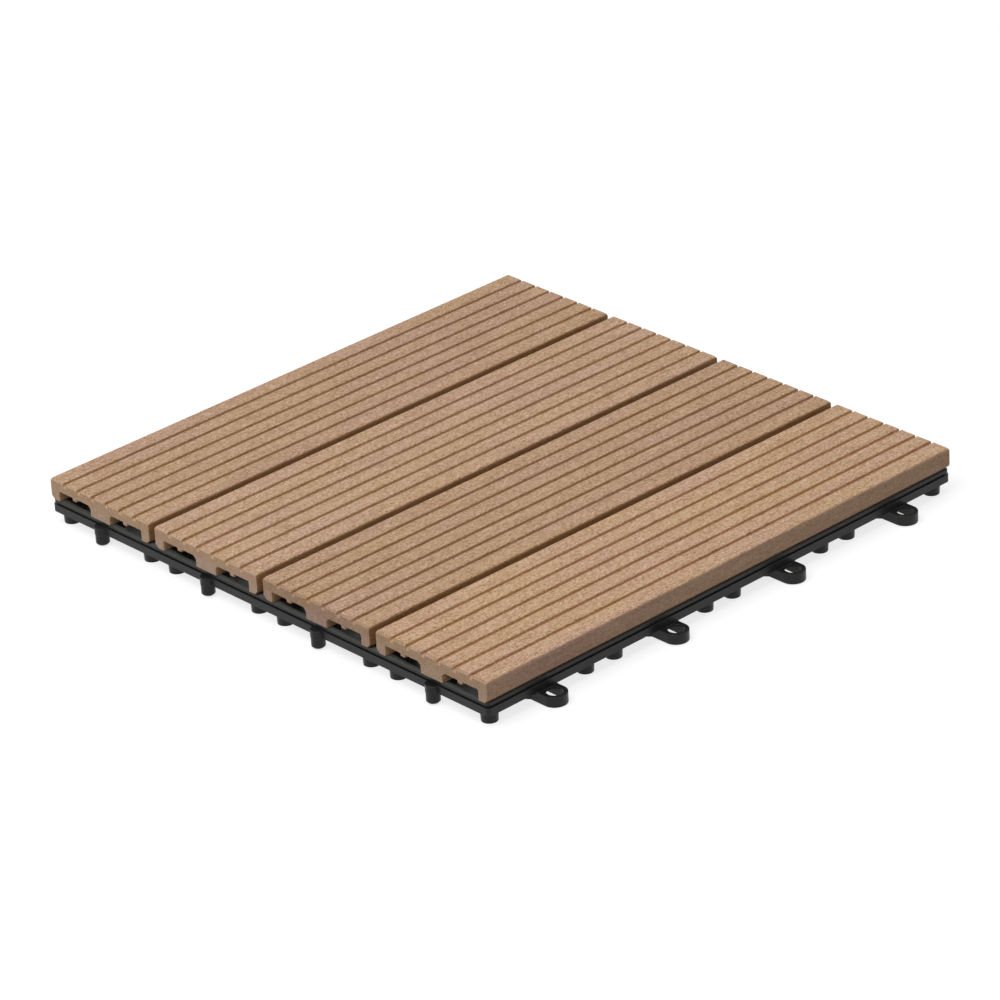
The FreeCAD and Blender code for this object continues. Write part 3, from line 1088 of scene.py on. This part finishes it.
@dataclass
class Screws:
    """The sixteen pan-head screws that hold the slats from below, in mm.

    Attributes:
        finish: their material's settings.
        rows, lines: their places along and across the slats.
        head_bottom, head_top, head_radius: the head.
        head_round, round_steps: rounding of its face, and the parts that it is made of.
        face_rim: how far inside that rounding the face starts.
        burr: chamfer of the head's upper edge.
        core_radius, thread_radius: the shank, without and with its thread.
        neck, run_out: plain shank over the head, and its slope down to the core.
        tip, point: height of the tip, and length of the taper below it.
        pitch: rise of a turn of the thread.
        blunt: share of the thread that is left at both its ends.
        turn_sides, coil_sides: how many sides stand for a round, and for a turn of thread.
        recess_span, recess_width, recess_depth: the cross in the head.
        seed: for the way that each screw is turned.
    """

    finish: PlatedSteel
    rows: tuple[float, ...] = (-110.0, -27.5, 27.5, 110.0)
    lines: tuple[float, ...] = (-112.5, -37.5, 37.5, 112.5)
    head_bottom: float = 4.2
    head_top: float = 6.0
    head_radius: float = 3.6
    head_round: float = 0.7
    round_steps: int = 6
    face_rim: float = 0.5
    burr: float = 0.12
    core_radius: float = 1.22
    thread_radius: float = 1.75
    neck: float = 4.0
    run_out: float = 0.4
    tip: float = 19.2
    point: float = 2.4
    pitch: float = 1.3
    blunt: float = 0.04
    turn_sides: int = 40
    coil_sides: int = 22
    recess_span: float = 4.4
    recess_width: float = 0.9
    recess_depth: float = 1.0
    seed: int = 7

    @property
    def shoulder(self) -> float:
        """Height where the thread starts, above the head's face."""
        return self.head_top + self.neck - self.head_bottom

    def profile(self) -> list[Pair]:
        """The screw's outline, from the middle of its face to its tip.

        Returns:
            Radius and height of each point.
        """
        tall = self.head_top - self.head_bottom
        end = self.tip - self.head_bottom
        middle = self.head_radius - self.head_round
        points = [(0.0, 0.0), (middle - self.face_rim, 0.0)]
        for step in range(self.round_steps + 1):
            angle = -math.pi / 2 + step * math.pi / 2 / self.round_steps
            points.append((middle + self.head_round * math.cos(angle),
                           self.head_round + self.head_round * math.sin(angle)))
        return points + [
            (self.head_radius, tall - self.burr),
            (self.head_radius - self.burr, tall),
            (self.thread_radius, tall),
            (self.thread_radius, self.shoulder - self.run_out),
            (self.core_radius, self.shoulder),
            (self.core_radius, end - self.point),
            (0.0, end),
        ]

    def blank(self) -> bpy.types.Object:
        """Turns the screw's head and core, with its head down.

        Returns:
            The turned blank, standing on the middle of its head.
        """
        mesh = bmesh.new()
        line = [mesh.verts.new((radius * MM, 0.0, height * MM))
                for radius, height in self.profile()]
        edges = [mesh.edges.new(pair) for pair in zip(line, line[1:])]
        bmesh.ops.spin(mesh, geom=line + edges, cent=(0, 0, 0), axis=(0, 0, 1), angle=2 * math.pi,
                       steps=self.turn_sides)
        bmesh.ops.remove_doubles(mesh, verts=mesh.verts, dist=WELD / 2 * MM)
        bmesh.ops.recalc_face_normals(mesh, faces=mesh.faces)
        data = bpy.data.meshes.new("screw_blank")
        mesh.to_mesh(data)
        mesh.free()
        return new_object("screw_blank", data)

    def build(self) -> bpy.types.Object:
        """Threads, drives and places the screws.

        Returns:
            The finished piece.
        """
        places = [(x * MM, y * MM, self.head_bottom * MM) for y in self.lines for x in self.rows]
        mesh = bpy.data.meshes.new("slat_screws")
        mesh.from_pydata(places, [], [])
        host = new_object("slat_screws", mesh)
        blank = self.blank()
        grown = GrowTree("screw_growth")
        graph = grown.graph
        source = grown.value("Blank", "Object", blank)
        body = graph.out("GeometryNodeObjectInfo", {"Object": source}, "Geometry")
        body = self.recess(grown, body)
        screw = graph.join(self.thread(grown), body)
        seed = grown.value("Seed", "Int", self.seed)
        spin = graph.out("FunctionNodeRandomValue", {"Min": 0.0, "Max": 2 * math.pi, "Seed": seed},
                         data_type="FLOAT")
        placed = graph.out("GeometryNodeInstanceOnPoints", {
            "Points": grown.start.outputs[0], "Instance": screw,
            "Rotation": graph.xyz(Z=spin),
        })
        grown.finish(placed, self.finish.material())
        piece = smooth(grown.grow(host))
        bpy.data.objects.remove(blank)
        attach(piece, BODY)
        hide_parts("screws")
        report(piece)
        return piece

    def recess(self, grown: GrowTree, body: Socket) -> Socket:
        """Presses the cross into the head.

        Args:
            grown: the screws' tree.
            body: the turned blank.

        Returns:
            The blank with its recess.
        """
        graph = grown.graph
        span = grown.length("Recess Span", self.recess_span)
        width = grown.length("Recess Width", self.recess_width)
        depth = grown.length("Recess Depth", self.recess_depth)
        both_ways = graph.times(depth, 2.0)
        for first, second in ((span, width), (width, span)):
            size = graph.xyz(X=first, Y=second, Z=both_ways)
            body = graph.cut(body, graph.out("GeometryNodeMeshCube", {"Size": size}))
        return body

    def thread(self, grown: GrowTree) -> Socket:
        """Winds the thread round the core and down to nothing at the point.

        Args:
            grown: the screws' tree.

        Returns:
            The thread.
        """
        graph = grown.graph
        length = self.tip - self.head_bottom - self.shoulder
        tall = grown.length("Thread Length", length)
        pitch = grown.length("Thread Pitch", self.pitch)
        core = grown.length("Core Radius", self.core_radius)
        depth = grown.length("Thread Depth", self.thread_radius - self.core_radius)
        point = grown.length("Point Length", self.point)
        line = graph.out("GeometryNodeCurveSpiral", {
            "Resolution": self.coil_sides, "Rotations": graph.maths("DIVIDE", tall, pitch),
            "Start Radius": core, "End Radius": core, "Height": tall,
        })
        place = graph.out("GeometryNodeInputPosition")
        height = graph.part(place, "Z")
        left = graph.maths("DIVIDE", graph.maths("SUBTRACT", tall, height), point)
        taper, start = (
            graph.maths("MAXIMUM", graph.maths("MINIMUM", share, 1.0), self.blunt)
            for share in (left, graph.maths("DIVIDE", height, pitch))
        )
        swell = graph.maths("MINIMUM", taper, start)
        scale = graph.xyz(X=taper, Y=taper, Z=1.0)
        tapered = graph.vector("MULTIPLY", {0: place, 1: scale})
        line = graph.out("GeometryNodeSetPosition", {"Geometry": line, "Position": tapered})
        ridge = graph.out("GeometryNodeCurvePrimitiveCircle", {"Resolution": 4, "Radius": depth})
        thread = graph.out("GeometryNodeCurveToMesh", {
            "Curve": line, "Profile Curve": ridge, "Scale": swell, "Fill Caps": True,
        })
        lifted = {"Geometry": thread, "Translation": (0.0, 0.0, self.shoulder * MM)}
        return graph.out("GeometryNodeTransform", lifted)


@dataclass
class BaseGrid:
    """The moulded base, whose shape stands as it is.

    Attributes:
        node: its CAD object.
        finish: its material's settings.
    """

    node: bpy.types.Object
    finish: MouldedPlastic

    def dress(self) -> None:
        """Gives the base its finish."""
        material = self.finish.material()
        if not self.node.material_slots:
            self.node.data.materials.append(material)
        for slot in self.node.material_slots:
            slot.material = material
        report(self.node)


@dataclass(frozen=True)
class Softbox:
    """A soft studio lamp.

    Attributes:
        name: its name.
        place: where it hangs, in metres.
        width: its side, in metres.
        power: in watts.
    """

    name: str
    place: Triple
    width: float
    power: float

    def build(self, aim: Vector) -> bpy.types.Object:
        """Hangs the lamp.

        Args:
            aim: the point that it faces.

        Returns:
            The lamp.
        """
        data = bpy.data.lights.new(self.name, "AREA")
        data.shape = "SQUARE"
        data.size = self.width
        data.energy = self.power
        lamp = new_object(self.name, data)
        lamp.location = self.place
        lamp.rotation_mode = "QUATERNION"
        lamp.rotation_quaternion = (aim - Vector(self.place)).to_track_quat("-Z", "Y")
        return lamp


@dataclass(frozen=True)
class Viewpoint:
    """The camera at the photograph's viewing angle.

    Attributes:
        place: where it stands, in metres.
        heading: the direction that it looks in.
        roll: its tilt about that direction, in degrees.
        frame: width of the frame, in mm.
        lens: focal length for that frame, in mm.
        nearest, farthest: what it sees, in metres.
    """

    place: Triple = (-1.44565, -1.59291, 1.10640)
    heading: Triple = (0.59798, 0.65897, -0.45627)
    roll: float = 3.1407
    frame: float = 36.0
    lens: float = 186.64
    nearest: float = 0.1
    farthest: float = 40.0

    def build(self) -> bpy.types.Object:
        """Sets the camera up.

        Returns:
            The camera.
        """
        data = bpy.data.cameras.new("camera")
        data.sensor_width = self.frame
        data.lens = self.lens
        data.clip_start = self.nearest
        data.clip_end = self.farthest
        camera = new_object("camera", data)
        camera.location = self.place
        camera.rotation_mode = "QUATERNION"
        level = Vector(self.heading).to_track_quat("-Z", "Y")
        camera.rotation_quaternion = level @ Quaternion((0.0, 0.0, 1.0), -math.radians(self.roll))
        bpy.context.scene.camera = camera
        return camera


@dataclass
class Studio:
    """Floor, lamps, world and camera.

    Attributes:
        floor: the floor's finish.
        viewpoint: the camera.
        floor_width: the floor's side, in metres.
        ambient: strength of the world's light, which looks 1.
        lamps: the softboxes.
    """

    floor: StudioFloor
    viewpoint: Viewpoint = field(default_factory=Viewpoint)
    floor_width: float = 14.0
    ambient: float = 0.37
    lamps: tuple[Softbox, ...] = (
        Softbox("key_softbox", (-1.15, 0.05, 2.0), 1.5, 29.3),
        Softbox("top_softbox", (0.25, 0.45, 2.6), 2.0, 12.5),
    )

    def build(self) -> None:
        """Sets the studio up."""
        self.lay_floor()
        for lamp in self.lamps:
            lamp.build(Vector((0.0, 0.0, 0.0)))
        self.light_world()
        self.viewpoint.build()
        bpy.context.scene.view_settings.view_transform = "Standard"

    def lay_floor(self) -> None:
        """Lays the pale floor on the ground."""
        half = self.floor_width / 2
        mesh = bpy.data.meshes.new("studio_floor")
        corners = [(-half, -half, 0.0), (half, -half, 0.0), (half, half, 0.0), (-half, half, 0.0)]
        mesh.from_pydata(corners, [], [(0, 1, 2, 3)])
        floor = new_object("studio_floor", mesh)
        mesh.materials.append(self.floor.material())

    def light_world(self) -> None:
        """Gives the world a white look and a plain, even light."""
        world = bpy.data.worlds.new("studio_world")
        world.use_nodes = True
        world.node_tree.nodes.clear()
        graph = Graph(world.node_tree)
        strength = graph.ramp(seen_share(graph), 0.0, 1.0, self.ambient, 1.0)
        background = graph.out("ShaderNodeBackground", {"Color": WHITE, "Strength": strength})
        graph.node("ShaderNodeOutputWorld", {"Surface": background})
        bpy.context.scene.world = world


def main() -> None:
    """Builds the tile's finished pieces and the studio round it."""
    logging.basicConfig(level=logging.INFO, format="%(name)s %(message)s")
    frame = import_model()

    BaseGrid(frame["nodes"]["base_grid"], MouldedPlastic("moulded_base")).dress()
    for number, tone in enumerate(SlatTone, start=1):
        low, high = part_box(f"slat_{number}")
        middle = (low.y + high.y) / 2 / MM
        finish = WoodPlastic(f"slat_{tone.name.lower()}", *tone.value, float(number))
        Slat(number, middle, finish).build()
    Screws(PlatedSteel("plated_screws")).build()
    Studio(StudioFloor("pale_floor")).build()


if __name__ == "__main__":
    main()
